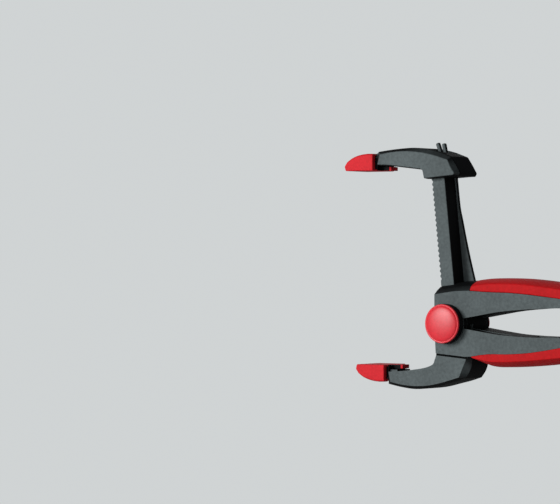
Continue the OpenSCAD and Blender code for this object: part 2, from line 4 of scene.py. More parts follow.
import bmesh
import bpy
import numpy as np
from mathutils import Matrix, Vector

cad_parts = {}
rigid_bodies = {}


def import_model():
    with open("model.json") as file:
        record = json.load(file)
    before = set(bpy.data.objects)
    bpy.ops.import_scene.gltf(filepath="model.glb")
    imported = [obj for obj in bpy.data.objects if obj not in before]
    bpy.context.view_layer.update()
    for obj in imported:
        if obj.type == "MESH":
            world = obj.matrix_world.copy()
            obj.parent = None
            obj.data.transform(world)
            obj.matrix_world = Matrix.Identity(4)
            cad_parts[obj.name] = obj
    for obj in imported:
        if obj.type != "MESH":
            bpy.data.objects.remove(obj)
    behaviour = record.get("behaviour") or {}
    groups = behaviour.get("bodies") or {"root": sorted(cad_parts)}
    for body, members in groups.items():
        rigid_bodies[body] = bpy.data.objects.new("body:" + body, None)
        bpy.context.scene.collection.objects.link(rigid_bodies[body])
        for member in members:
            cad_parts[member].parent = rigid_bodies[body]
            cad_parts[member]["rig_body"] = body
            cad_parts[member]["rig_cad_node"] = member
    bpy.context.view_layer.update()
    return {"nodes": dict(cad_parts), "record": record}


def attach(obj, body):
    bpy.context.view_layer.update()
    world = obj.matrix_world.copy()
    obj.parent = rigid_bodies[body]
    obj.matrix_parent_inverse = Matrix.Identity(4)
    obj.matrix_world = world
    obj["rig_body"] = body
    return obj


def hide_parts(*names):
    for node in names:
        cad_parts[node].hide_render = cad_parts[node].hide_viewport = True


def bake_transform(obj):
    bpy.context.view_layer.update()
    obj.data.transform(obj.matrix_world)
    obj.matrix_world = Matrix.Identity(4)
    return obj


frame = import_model()

MM = 0.001
PIVOT = Vector((0.044, 0, 0.022))

# Sizes in millimetres, shared with the solids: x and z from the pivot, y from the middle
HALF_BODY = 12.8
HALF_JAW = 11.25
HUB_R = 10.1
FAR_HUB_R = 7.5
RAIL_LEAN = math.radians(6)
RAIL_FRONT, RAIL_BACK = -5.5, 2.5
RAIL_FOOT, RAIL_TOP = 19.35, 87.6
RAIL_HALF = 6.3
WEB_Y = (3.8, 6.0)
WEB_EDGE = [(8.9, RAIL_FOOT), (6.9, 32), (5.5, 42.4), (4.3, 53), (3.5, 60), (3.4, 74),
            (3.4, RAIL_TOP - 0.2)]
JAW_TRAVEL = 53
TOOTH_PITCH = 2.64
PAD_FACE = 4.9
UPPER_PAD_AT = (-50, 83.9)
LOWER_PAD_AT = (-43, -26.9)
NECK_HALF = 6.3

# Corners closer than this are made one, before and after the cuts, in millimetres
WELD_RAW = 0.01
WELD_CUT = 0.002
# Rounding of the edges, in millimetres, and the sides of a turned part
LEVER_ROUND = 0.25
GRIP_ROUND = 0.7
TURNED_SIDES = 72


# ---------- materials ----------

# Patches of tone: scale of the large ones, and of the small ones as a share of the grain's
CLOUD_SCALE = 55.0
MOTTLE_SHARE = 0.45
# Grain: spread of the roughness, and depth in metres
ROUGH_SPREAD = 0.07
GRAIN_DEPTH = 0.0001
# Masks: how far a face looks along y, which sets where the painted side shade gives way to the
# grained flank colour, and how far an edge within the radius, in metres, turns
FLANK_RANGE = (0.5, 0.96)
EDGE_RANGE = (0.98, 0.72)
EDGE_RADIUS = 0.0006
# Shine of the faces under the painted side shade, kept low so that they stay dark
SHADE_SIDE_SHINE = 0.06
SURROUND = (0.63, 0.655, 0.66, 1.0)


def put(tree, socket, value):
    """Links another node's output into the socket, or sets a plain value."""
    if isinstance(value, bpy.types.NodeSocket):
        tree.links.new(value, socket)
    else:
        socket.default_value = value


def add(tree, kind, **inputs):
    """A shader node whose sockets are set by name, with underscores for spaces."""
    made = tree.nodes.new(kind)
    for name, value in inputs.items():
        put(tree, made.inputs[name.replace("_", " ")], value)
    return made


def noise(tree, place, scale, detail, roughness=0.5):
    """The strength of a noise at each place."""
    return add(tree, "ShaderNodeTexNoise", Vector=place, Scale=scale, Detail=detail,
               Roughness=roughness).outputs["Fac"]


def maths(tree, operation, first, second=0.0, clamp=False):
    """The result of a Math node."""
    made = tree.nodes.new("ShaderNodeMath")
    made.operation = operation
    made.use_clamp = clamp
    put(tree, made.inputs[0], first)
    put(tree, made.inputs[1], second)
    return made.outputs[0]


def stretched(tree, value, **ends):
    """A value mapped from one range to another, 0 to 1 where no end is given."""
    return add(tree, "ShaderNodeMapRange", Value=value, **ends).outputs[0]


def mixed(tree, share, first, second):
    """The first colour, turned by share into the second."""
    made = tree.nodes.new("ShaderNodeMix")
    made.data_type = "RGBA"
    put(tree, made.inputs[0], share)
    put(tree, made.inputs[6], first)
    put(tree, made.inputs[7], second)
    return made.outputs[2]


def opaque(colour):
    """A colour with full alpha."""
    return tuple(colour) + (1.0,)


def blank_material(name):
    """A new material, with its node tree and its main shader."""
    material = bpy.data.materials.new(name)
    material.use_nodes = True
    return material, material.node_tree, material.node_tree.nodes["Principled BSDF"]


def moulded(name, colour, rough, grain, grain_scale, shade=0.12, wear=0.25, specular=0.35,
            painted_side_shade=None):
    """Moulded plastic: fine grain, slow colour variation, and edges rubbed paler.

    With a painted side shade, only the flat flanks keep the grained colour; the other faces take
    the near-black painted shade, with a lower shine."""
    material, tree, principled = blank_material(name)
    place = add(tree, "ShaderNodeTexCoord").outputs["Object"]
    cloud = noise(tree, place, CLOUD_SCALE, 4.0, 0.6)
    fine = noise(tree, place, grain_scale, 3.0, 0.7)
    mottle = noise(tree, place, grain_scale * MOTTLE_SHARE, 2.0)
    patches = stretched(tree, maths(tree, "ADD", cloud, mottle), From_Min=0.7, From_Max=1.3)
    dark = opaque(c * (1 - shade) for c in colour)
    pale = opaque(min(1.0, c * (1 + shade)) for c in colour)
    base = mixed(tree, patches, dark, pale)
    # Painted shade: faces that don't look along y take a near-black colour for the light that
    # misses them
    if painted_side_shade:
        flank = flank_mask(tree)
        base = mixed(tree, flank, opaque(painted_side_shade), base)
        specular = stretched(tree, flank, To_Min=SHADE_SIDE_SHINE, To_Max=specular)
    rubbed = maths(tree, "MULTIPLY", edge_mask(tree, cloud), wear)
    worn = mixed(tree, rubbed, base, opaque(min(1.0, c * 1.5 + 0.03) for c in colour))
    spread = stretched(tree, fine, To_Min=rough - ROUGH_SPREAD, To_Max=rough + ROUGH_SPREAD)
    relief = add(tree, "ShaderNodeBump", Height=fine, Strength=grain, Distance=GRAIN_DEPTH)
    put(tree, principled.inputs["Base Color"], worn)
    put(tree, principled.inputs["Roughness"], spread)
    put(tree, principled.inputs["Normal"], relief.outputs[0])
    put(tree, principled.inputs["Specular IOR Level"], specular)
    return material


def flank_mask(tree):
    """1 on faces that look along y, 0 on the others, which take the painted side shade."""
    normal = add(tree, "ShaderNodeTexCoord").outputs["Normal"]
    facing = add(tree, "ShaderNodeSeparateXYZ", Vector=normal)
    size = maths(tree, "ABSOLUTE", facing.outputs["Y"])
    return stretched(tree, size, From_Min=FLANK_RANGE[0], From_Max=FLANK_RANGE[1])


def edge_mask(tree, breakup):
    """1 on sharp outer edges, broken up by a noise, 0 on flats."""
    rounded = add(tree, "ShaderNodeBevel", Radius=EDGE_RADIUS)
    rounded.samples = 4
    flat = add(tree, "ShaderNodeNewGeometry")
    turn = tree.nodes.new("ShaderNodeVectorMath")
    turn.operation = "DOT_PRODUCT"
    put(tree, turn.inputs[0], rounded.outputs[0])
    put(tree, turn.inputs[1], flat.outputs["Normal"])
    edge = stretched(tree, turn.outputs["Value"], From_Min=EDGE_RANGE[0], From_Max=EDGE_RANGE[1])
    return maths(tree, "MULTIPLY", edge, breakup)


def plated_steel(name, colour, rough):
    """Zinc plated steel with fine drawn streaks."""
    material, tree, principled = blank_material(name)
    place = add(tree, "ShaderNodeTexCoord").outputs["Object"]
    streaks = noise(tree, place, 900.0, 3.0)
    stain = noise(tree, place, 90.0, 4.0)
    tone = mixed(tree, stain, opaque(c * 0.8 for c in colour), opaque(colour))
    spread = stretched(tree, streaks, To_Min=rough - 0.08, To_Max=rough + 0.1)
    relief = add(tree, "ShaderNodeBump", Height=streaks, Strength=0.15, Distance=GRAIN_DEPTH / 2)
    put(tree, principled.inputs["Base Color"], tone)
    put(tree, principled.inputs["Roughness"], spread)
    put(tree, principled.inputs["Normal"], relief.outputs[0])
    principled.inputs["Metallic"].default_value = 1.0
    return material


SLOTS = {
    # grey_nylon: the faces that don't look along y get a near-black painted shade
    "grey_nylon": moulded("grey_nylon", (0.108, 0.13, 0.133), 0.62, 0.8, 1400.0, wear=0.3,
                          specular=0.12, shade=0.22, painted_side_shade=(0.005, 0.0055, 0.006)),
    "black_nylon": moulded("black_nylon", (0.007, 0.007, 0.008), 0.5, 0.2, 2200.0, wear=0.15,
                           specular=0.06),
    "red_grip": moulded("red_grip", (0.58, 0.009, 0.012), 0.6, 0.25, 1500.0, wear=0.05,
                        specular=0.1),
    "red_pad": moulded("red_pad", (0.72, 0.02, 0.03), 0.6, 0.3, 1800.0, wear=0.05,
                       specular=0.15),
    "red_cap": moulded("red_cap", (0.82, 0.02, 0.036), 0.4, 0.12, 1800.0, wear=0.02,
                       specular=0.6),
    "steel": plated_steel("steel", (0.55, 0.56, 0.57), 0.32),
}


# ---------- modelling ----------

def row(x, y, z):
    """A point of the row frame, in metres, from millimetres measured at the pivot."""
    return PIVOT + Vector((x, y, z)) * MM


def on_rail(x, y, s):
    """A point at height s up the leaning rail, as x, y, z from the pivot."""
    return (x * math.cos(RAIL_LEAN) - s * math.sin(RAIL_LEAN), y,
            x * math.sin(RAIL_LEAN) + s * math.cos(RAIL_LEAN))


def clear():
    """Back to object mode with nothing selected."""
    if bpy.context.object and bpy.context.object.mode != "OBJECT":
        bpy.ops.object.mode_set(mode="OBJECT")
    bpy.ops.object.select_all(action="DESELECT")


def pick(piece):
    """Makes piece the only selected object, in object mode."""
    clear()
    piece.select_set(True)
    bpy.context.view_layer.objects.active = piece


def rest_in_mesh(piece):
    """Puts the object's place and turn into its mesh."""
    pick(piece)
    bpy.ops.object.transform_apply(location=True, rotation=True, scale=True)


def place_ring(piece, ring):
    """Moves the selected end face's corners onto the ring."""
    shape = bmesh.from_edit_mesh(piece.data)
    face = next(f for f in shape.faces if f.select)
    for corner, point in zip(face.verts, ring):
        corner.co = point
    bmesh.update_edit_mesh(piece.data)


def grow(name, rings):
    """Extrudes a face from ring to ring; each ring has its corners in the same order."""
    clear()
    bpy.ops.mesh.primitive_circle_add(vertices=len(rings[0]), radius=MM, fill_type="NGON",
                                      location=rings[0][0])
    piece = bpy.context.object
    piece.name = name
    rest_in_mesh(piece)
    bpy.ops.object.mode_set(mode="EDIT")
    bpy.ops.mesh.select_mode(type="FACE")
    bpy.ops.mesh.select_all(action="SELECT")
    place_ring(piece, rings[0])
    for ring in rings[1:]:
        bpy.ops.mesh.extrude_region_move()
        place_ring(piece, ring)
    close(piece)
    return piece


def close(piece):
    """Fills open ends, and turns all faces outwards."""
    bpy.ops.mesh.select_mode(type="EDGE")
    bpy.ops.mesh.select_all(action="DESELECT")
    bpy.ops.mesh.select_non_manifold()
    shape = bmesh.from_edit_mesh(piece.data)
    if any(e.select for e in shape.edges):
        bpy.ops.mesh.edge_face_add()
    bpy.ops.mesh.select_all(action="SELECT")
    bpy.ops.mesh.normals_make_consistent(inside=False)
    bpy.ops.object.mode_set(mode="OBJECT")


def smooth_course(stations, steps):
    """More stations on a smooth curve through the given ones."""
    given = np.array(stations, float)
    last = len(given) - 1
    course = []
    for i in range(last):
        here, there = given[i], given[i + 1]
        leave = (there - given[max(i - 1, 0)]) / 2
        arrive = (given[min(i + 2, last)] - here) / 2
        for k in range(steps):
            t = k / steps
            course.append(here * (2 * t ** 3 - 3 * t ** 2 + 1) + leave * (t ** 3 - 2 * t ** 2 + t)
                          + there * (3 * t ** 2 - 2 * t ** 3) + arrive * (t ** 3 - t ** 2))
    return course + [given[last]]


def runs(*parts, steps=4):
    """Smooth runs end to end, with a corner between two; a run of two stations is straight."""
    course = []
    for part in parts:
        course += smooth_course(part, steps if len(part) > 2 else 1)[:-1]
    return course + [np.array(parts[-1][-1], float)]


def limb(name, face, crown, layers):
    """A limb along x: a station is a low and a high point, a layer y and a share of the crown."""
    rings = []
    for flank, middle in zip(face, crown):
        low = [(flank[0] + (middle[0] - flank[0]) * share, y) for y, share in layers]
        high = [(flank[1] + (middle[1] - flank[1]) * share, y) for y, share in reversed(layers)]
        rings.append([row(p[0], y, p[1]) for p, y in low + high])
    piece = grow(name, rings)
    strip_ends(piece, len(rings[0]))
    return piece


def strip_ends(piece, corners):
    """Divides both end faces into upright strips, so that a crowned end keeps its form."""
    shape = bmesh.new()
    shape.from_mesh(piece.data)
    for face in [f for f in shape.faces if len(f.verts) == corners]:
        across = sorted(face.verts, key=lambda v: v.co.y)
        for k in range(2, corners - 2, 2):
            bmesh.ops.connect_verts(shape, verts=across[k:k + 2])
    shape.to_mesh(piece.data)
    shape.free()


def crowned(half, count=14, power=2.2):
    """Layers of a crowned moulding: steep at the flanks, shallow over the middle."""
    across = [2 * k / count - 1 for k in range(count + 1)]
    return [(half * u, 1 - abs(u) ** power) for u in across]


def chamfered(half, depth):
    """Layers of a moulding with flat chamfers along its flanks."""
    return [(-half, 0), (depth - half, 1), (half - depth, 1), (half, 0)]


def turned(name, profile, side):
    """A turned part on the pivot axis: profile is pairs of radius and distance from the middle."""
    clear()
    radius, out = profile[0]
    bpy.ops.mesh.primitive_circle_add(vertices=TURNED_SIDES, radius=radius * MM, fill_type="NGON",
                                      location=row(0, side * out, 0),
                                      rotation=(math.pi / 2, 0, 0))
    piece = bpy.context.object
    piece.name = name
    rest_in_mesh(piece)
    bpy.ops.object.mode_set(mode="EDIT")
    bpy.ops.mesh.select_mode(type="FACE")
    bpy.ops.mesh.select_all(action="SELECT")
    for next_radius, next_out in profile[1:]:
        step = (0, side * (next_out - out) * MM, 0)
        bpy.ops.mesh.extrude_region_move(TRANSFORM_OT_translate={"value": step})
        ratio = next_radius / radius
        middle = row(0, side * next_out, 0)
        bpy.ops.transform.resize(value=(ratio, 1, ratio), center_override=middle)
        radius, out = next_radius, next_out
    close(piece)
    return piece


def block(name, low, high, leaning=False):
    """A plain cutter or blank between two corners; a leaning one stands along the rail."""
    clear()
    bpy.ops.mesh.primitive_cube_add(size=1)
    piece = bpy.context.object
    piece.name = name
    size = [(b - a) * MM for a, b in zip(low, high)]
    middle = [(a + b) / 2 for a, b in zip(low, high)]
    piece.scale = size
    piece.location = row(*on_rail(*middle)) if leaning else row(*middle)
    piece.rotation_euler = (0, -RAIL_LEAN if leaning else 0, 0)
    rest_in_mesh(piece)
    return piece


def combine(piece, other, operation):
    """Cuts other out of piece, or joins it on, and removes other."""
    pick(piece)
    step = piece.modifiers.new(operation.lower(), "BOOLEAN")
    step.operation = operation
    step.solver = "EXACT"
    step.object = other
    bpy.ops.object.modifier_apply(modifier=step.name)
    bpy.data.objects.remove(other)


def soften(piece, width, segments=2, angle=30, clamp=True):
    """Rounds every edge sharper than angle."""
    pick(piece)
    step = piece.modifiers.new("soft_edges", "BEVEL")
    step.width = width * MM
    step.segments = segments
    step.limit_method = "ANGLE"
    step.angle_limit = math.radians(angle)
    step.use_clamp_overlap = clamp
    step.harden_normals = False
    bpy.ops.object.modifier_apply(modifier=step.name)


def fit(piece, node, angle=35):
    """Gives a finished piece its shading and finish, and puts it in its solid's place."""
    pick(piece)
    bpy.ops.object.shade_smooth_by_angle(angle=math.radians(angle))
    level = piece.modifiers.new("flats_stay_flat", "WEIGHTED_NORMAL")
    level.weight = 80
    level.keep_sharp = True
    bpy.ops.object.modifier_apply(modifier=level.name)
    part = next(p for p in frame["record"]["subparts"] if p["node"] == node)
    piece.data.materials.clear()
    piece.data.materials.append(SLOTS[part["material_slot"]])
    body = next(b for b, nodes in frame["record"]["behaviour"]["bodies"].items() if node in nodes)
    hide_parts(node)
    if node != "torsion_spring":
        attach(piece, body)


def refined(node, width, cutters=(), blanks=()):
    """A copy of a solid, with cutters cut out, blanks joined on and its edges rounded."""
    pick(frame["nodes"][node])
    bpy.ops.object.duplicate()
    piece = bpy.context.object
    piece.name = node + "_moulded"
    piece.parent = None
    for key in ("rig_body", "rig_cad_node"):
        del piece[key]
    bpy.ops.object.mode_set(mode="EDIT")
    bpy.ops.mesh.select_all(action="SELECT")
    bpy.ops.mesh.customdata_custom_splitnormals_clear()
    bpy.ops.mesh.remove_doubles(threshold=WELD_RAW * MM)
    bpy.ops.object.mode_set(mode="OBJECT")
    for cutter in cutters:
        combine(piece, cutter, "DIFFERENCE")
    for blank in blanks:
        combine(piece, blank, "UNION")
    pick(piece)
    bpy.ops.object.mode_set(mode="EDIT")
    bpy.ops.mesh.select_all(action="SELECT")
    bpy.ops.mesh.remove_doubles(threshold=WELD_CUT * MM)
    bpy.ops.mesh.dissolve_limited(angle_limit=math.radians(1))
    bpy.ops.object.mode_set(mode="OBJECT")
    soften(piece, width)
    return piece


# ---------- levers and grips ----------

UPPER_SEAM = [(13.2, 16.8), (24, 16.2), (36, 15.9), (48, 15), (60, 13.7), (72, 12.4), (84, 11.2),
              (96, 9.6), (102, 7)]
LOWER_SEAM = [(14, -16.6), (24, -15.2), (36, -15), (48, -14.1), (60, -12.3), (72, -10.2),
              (84, -8.7), (96, -7.5), (102, -5.6)]
SEAM_GAP = (0.02, 0.05)
UPPER_CORE = [(16, 12), (16, 19.4), (24, 20.3), (36, 20.4), (50, 19.5), (64, 18), (78, 16.5),
              (92, 15.9), (99, 15.6), (99, 7.6), (80, 10), (50, 11)]
LOWER_CORE = [(20, -12), (20, -18), (28, -19), (40, -18.8), (52, -17.9), (64, -16.6), (78, -15.3),
              (92, -14.7), (99, -14.2), (99, -5.9), (80, -8), (50, -10)]
CORE_HALF = 7.6
CORE_ROOM = 0.03


def levers():
    """The two lever mouldings, the lower one with a groove on each flank."""
    fit(refined("upper_lever", LEVER_ROUND), "upper_lever")
    grooves = [parting_groove(side) for side in (-1, 1)]
    fit(refined("lower_lever", LEVER_ROUND, cutters=grooves), "lower_lever")


def parting_groove(side):
    """A wedge that cuts the V groove where the arm leaves the lower body's flank."""
    wedge = [(-1.1, 0), (0.2, -0.65), (0.2, 0.65)]
    line = [(-7.26, -15.87), (12.06, -17.58)]
    rings = [[row(x, side * (HALF_JAW + out), z + up) for out, up in wedge] for x, z in line]
    return grow("parting_groove", rings)


def core_pocket(core):
    """The room in a grip for the handle's core, a hair wider than the core itself."""
    pocket = prism("core_pocket", lambda x, z: (x, z), core, CORE_HALF)
    pick(pocket)
    bpy.ops.object.mode_set(mode="EDIT")
    bpy.ops.mesh.select_all(action="SELECT")
    bpy.ops.transform.shrink_fatten(value=CORE_ROOM * MM, use_even_offset=True)
    bpy.ops.object.mode_set(mode="OBJECT")
    return pocket


def grip(node, face_sides, face_end, crown_sides, crown_end, core):
    """A soft sleeve with a rounded end and room for the handle's core."""
    face = runs(face_sides, [face_sides[-1]] + face_end)
    crown = runs(crown_sides, [crown_sides[-1]] + crown_end)
    piece = limb(node + "_sleeve", face, crown, crowned(HALF_BODY))
    soften(piece, GRIP_ROUND, 3)
    combine(piece, core_pocket(core), "DIFFERENCE")
    fit(piece, node)


def upper_grip():
    """Lies on the upper lever, with its seam below."""
    seam = [(x + SEAM_GAP[0], z + SEAM_GAP[1]) for x, z in UPPER_SEAM]
    flank = [(14.2, 19.1), (22, 20.2), (33, 20.5), (44, 20.1), (55, 19.1), (66, 17.8), (78, 16.4),
             (91, 15.8), (102.5, 15.7)]
    ridge = [(13.4, 22.3), (21, 23.1), (32, 23.3), (43, 23), (54, 22.1), (65, 20.8), (78, 19.4),
             (91, 18.8), (104, 18.9)]
    grip("upper_grip",
         list(zip(seam, flank)), [((105, 6.6), (108.5, 14.6)), ((109.6, 7.4), (111, 11))],
         list(zip(seam, ridge)), [((106, 6), (112, 17)), ((111.8, 7), (113.95, 11.5))],
         UPPER_CORE)


def lower_grip():
    """Lies under the lower lever, with its seam above."""
    seam = [(x + SEAM_GAP[0], z - SEAM_GAP[1]) for x, z in LOWER_SEAM]
    flank = [(14.6, -17.2), (24, -18.9), (33, -19), (44, -18.4), (55, -17.4), (66, -16.3),
             (78, -15.2), (91, -14.6), (102.5, -14.3)]
    ridge = [(14.8, -18.6), (22.5, -21.8), (32, -22), (43, -21.5), (54, -20.6), (65, -19.4),
             (78, -18.2), (91, -17.6), (104, -17.4)]
    grip("lower_grip",
         list(zip(flank, seam)), [((108.5, -13), (105, -5.2)), ((111, -9.5), (109.6, -5.9))],
         list(zip(ridge, seam)), [((112, -15.4), (106, -4.6)), ((113.95, -10), (111.8, -5.6))],
         LOWER_CORE)


# ---------- rail ----------

# The scallops are cut by cylinders a little in front of the bar
SCALLOP_R = 0.95
SCALLOP_OUT = 0.15
FIRST_SCALLOP = RAIL_FOOT + 2.4 + 0.65 * TOOTH_PITCH
SCALLOPS = int((RAIL_TOP - RAIL_FOOT - 4) / TOOTH_PITCH)
WEB_ROOT = 1
TANG_LOW, TANG_HIGH = (-4.1, -4.5, 12.4), (1.9, 4.5, RAIL_FOOT + 1)
FINGER_DEPTH, FINGER_WIDTH, FINGER_ROUND = 2.1, 2.3, 0.75
# Each finger's place across the rail's top, lean in degrees and length
FINGERS = ((-1.4, 15, 7.5), (1, 5.6, 6.6))


def toothed_rail():
    """The bar with its scalloped front, the web behind it, the tang and two snap fingers."""
    bar = block("rail_with_web", (RAIL_FRONT, -RAIL_HALF, RAIL_FOOT),
                (RAIL_BACK, RAIL_HALF, RAIL_TOP), leaning=True)
    soften(bar, 0.6, 3)
    combine(bar, scallops(), "DIFFERENCE")
    strip = web_strip("web")
    soften(strip, 0.5, 3)
    combine(bar, strip, "UNION")
    combine(bar, block("tang", TANG_LOW, TANG_HIGH, leaning=True), "UNION")
    for x, lean, reach in FINGERS:
        combine(bar, snap_finger(x, math.radians(lean), reach), "UNION")
    fit(bar, "toothed_rail")


def scallops():
    """A row of round cutters up the bar's front."""
    clear()
    first = on_rail(RAIL_FRONT - SCALLOP_OUT, 0, FIRST_SCALLOP)
    bpy.ops.mesh.primitive_cylinder_add(vertices=20, radius=SCALLOP_R * MM, depth=0.02,
                                        location=row(*first), rotation=(math.pi / 2, 0, 0))
    teeth = bpy.context.object
    rest_in_mesh(teeth)
    repeat = teeth.modifiers.new("along_rail", "ARRAY")
    repeat.count = SCALLOPS
    repeat.use_relative_offset = False
    repeat.use_constant_offset = True
    repeat.constant_offset_displace = Vector(on_rail(0, 0, 1)) * TOOTH_PITCH * MM
    bpy.ops.object.modifier_apply(modifier=repeat.name)
    return teeth


def web_strip(name, gap=0, rise=0):
    """The web, or with a gap and a rise the way it needs through the jaw."""
    near, far = WEB_Y[0] - gap, WEB_Y[1] + gap
    rings = []
    for edge, s in runs(WEB_EDGE):
        back = edge + gap
        section = ((WEB_ROOT, near), (back, near), (back, far), (WEB_ROOT, far))
        rings.append([row(*on_rail(x, y, s + rise)) for x, y in section])
    return grow(name, rings)


def snap_finger(x, lean, reach):
    """A slim round-topped finger on the rail's top."""
    clear()
    foot = RAIL_TOP - 1
    bpy.ops.mesh.primitive_cube_add(size=1)
    piece = bpy.context.object
    piece.name = "snap_finger"
    piece.scale = (FINGER_DEPTH * MM, FINGER_WIDTH * MM, reach * MM)
    piece.rotation_euler = (0, -RAIL_LEAN - lean, 0)
    up = Vector((-math.sin(RAIL_LEAN + lean), 0, math.cos(RAIL_LEAN + lean)))
    piece.location = row(*on_rail(x, 0, foot)) + up * reach / 2 * MM
    rest_in_mesh(piece)
    soften(piece, FINGER_ROUND, 4)
    return piece


# ---------- sliding jaw ----------

# Room round the rail, and the heights between which the slot for it is cut
JAW_FIT = 0.3
SLOT_LOW, SLOT_HIGH = 60, 100
SHOE_LOW, SHOE_HIGH = (RAIL_FRONT - 2.62, -4.02, 77.58), (0, 4.02, 84.42)
NECK_END_R = 2.3


def sliding_jaw():
    """The upper jaw arm with its neck, hollow for the rail, the rail's web and the lock shoe."""
    face = runs(
        [((-43.2, 82), (-41.7, 87.2)), ((-36, 81.7), (-35, 88.3)), ((-29, 80.9), (-26.5, 88.7)),
         ((-22, 80.1), (-20, 88.2)), ((-17.3, 79.5), (-15.5, 87.6))],
        [((-17.3, 79.5), (-15.5, 87.6)), ((-16, 78.7), (-13.6, 87.2)),
         ((-15.5, 77.2), (-11.5, 86.8))],
        [((-15.5, 77.2), (-11.5, 86.8)), ((-14.9, 74.5), (-8.5, 86.1))],
        [((-14.9, 74.5), (-8.5, 86.1)), ((-4, 75.5), (-0.8, 83.8))],
        [((-4, 75.5), (-0.8, 83.8)), ((-0.5, 75.8), (0.9, 80.1)), ((2.5, 76.1), (3.1, 77.1))])
    crown = runs(
        [((-44.6, 81.6), (-44.6, 88.8)), ((-36, 81.2), (-36, 89.8)), ((-29, 80.4), (-26, 90.5)),
         ((-22, 79.6), (-20, 90.4)), ((-17, 79), (-15, 89.9))],
        [((-17, 79), (-15, 89.9)), ((-15.6, 78.2), (-12.8, 89.5)), ((-15.1, 76.8), (-10.6, 89))],
        [((-15.1, 76.8), (-10.6, 89)), ((-14.6, 74.2), (-7, 88.1))],
        [((-14.6, 74.2), (-7, 88.1)), ((-2, 75.1), (0, 85.6))],
        [((-2, 75.1), (0, 85.6)), ((1.5, 75.3), (3, 81.2)), ((4.6, 75.4), (5.5, 77))])
    piece = limb("jaw_moulding", face, crown, chamfered(HALF_JAW, 3))
    soften(piece, 0.5, 3, angle=22)
    combine(piece, neck("jaw_neck", UPPER_PAD_AT, 1), "UNION")
    slot = block("rail_slot", (RAIL_FRONT - JAW_FIT, -RAIL_HALF - JAW_FIT, SLOT_LOW),
                 (RAIL_BACK + JAW_FIT, RAIL_HALF + JAW_FIT, SLOT_HIGH), leaning=True)
    combine(piece, slot, "DIFFERENCE")
    combine(piece, web_strip("web_slot", JAW_FIT), "DIFFERENCE")
    combine(piece, web_strip("web_slot_at_foot", JAW_FIT, JAW_TRAVEL), "DIFFERENCE")
    combine(piece, block("shoe_pocket", SHOE_LOW, SHOE_HIGH, leaning=True), "DIFFERENCE")
    fit(piece, "sliding_jaw")


def from_pin(place, up):
    """Gives the point x along and z away from the work, measured at a pad's pin."""
    x0, z0 = place
    return lambda x, z: (x0 + x, z0 + up * z)


def neck(name, place, up):
    """The narrow end of a jaw arm that a pad turns on."""
    outline = [(9, -2.4), (9, 3), (5.6, 4.6), (3.6, 4.2), (2.2, 3.6), (1.5, 2.7)]
    for k in range(9):
        angle = math.radians(90 + 22.5 * k)
        outline.append((NECK_END_R * math.cos(angle), NECK_END_R * math.sin(angle)))
    piece = prism(name, from_pin(place, up), outline, NECK_HALF)
    soften(piece, 0.3)
    return piece


# ---------- pads ----------

# Measured at the pad's pin: x towards the hub, z away from the work
TOE_END, TAIL_END, TAIL_HALF = 3.5, 10.4, 3.3
SKIRT_T = 0.7
SOLE_TOP, LIP_T, LIP_TOP = -4.0, 1.3, -2.9
POCKET_OUT = NECK_HALF + 1.92
POCKET_FRONT, POCKET_TOP = -8.6, 2.9
# The ears' black slabs beside the neck stand over its recessed flank as painted shade
SHADE_EAR_IN, SHADE_EAR_OUT = NECK_HALF + 0.32, NECK_HALF + 1.4
# How far joined blanks run into each other and cuts past each other
OVERLAP = 0.02


def pad(node, place, up):
    """The soft toe with its pocket for the neck, and the sole and end lip under the tail."""
    spot = from_pin(place, up)

    def course(tops, nose, end):
        """Stations from the nose to the toe's end, each from the face up to the top."""
        lows = [nose] + [x for x, _ in tops[1:]]
        pairs = [(spot(low, -PAD_FACE), spot(x, z)) for low, (x, z) in zip(lows, tops)]
        rear = (spot(TOE_END, -PAD_FACE), spot(TOE_END, end))
        return runs(pairs[:2], pairs[1:], [pairs[-1], rear], steps=3)

    face = course([(-13.8, -2.6), (-12.2, -0.6), (-9.4, 1.1), (-6.4, 2.3), (-3.2, 3), (0, 3.3)],
                  -13.2, 3.2)
    crown = course([(-14.3, -2.4), (-12.8, -0.1), (-9.8, 1.8), (-6.6, 3), (-3.3, 3.7), (0, 4)],
                   -13.6, 3.9)
    piece = limb(node + "_soft", face, crown, chamfered(10.8, 1.2))
    soften(piece, 0.5, 3, angle=28, clamp=False)
    past_toe = TOE_END + 1
    cut(piece, spot, (POCKET_FRONT + 0.18, -2.7), (past_toe, SOLE_TOP - OVERLAP), POCKET_OUT)
    floor_z = SOLE_TOP - OVERLAP / 2
    room = [(POCKET_FRONT, floor_z), (past_toe, floor_z), (past_toe, POCKET_TOP),
            (-5, POCKET_TOP), (POCKET_FRONT, 1)]
    combine(piece, prism("pocket", spot, room, POCKET_OUT), "DIFFERENCE")
    cut(piece, spot, (-0.8, 8), (past_toe, 0), NECK_HALF + 0.4)
    end = (TAIL_END, OVERLAP - PAD_FACE)
    sole = slab(node + "_sole", spot, (TOE_END - 1, SOLE_TOP - OVERLAP), end,
                TAIL_HALF - SKIRT_T - 0.05)
    combine(piece, sole, "UNION")
    lip = slab(node + "_lip", spot, (TAIL_END - LIP_T, LIP_TOP), end, TAIL_HALF)
    combine(piece, lip, "UNION")
    fit(piece, node)


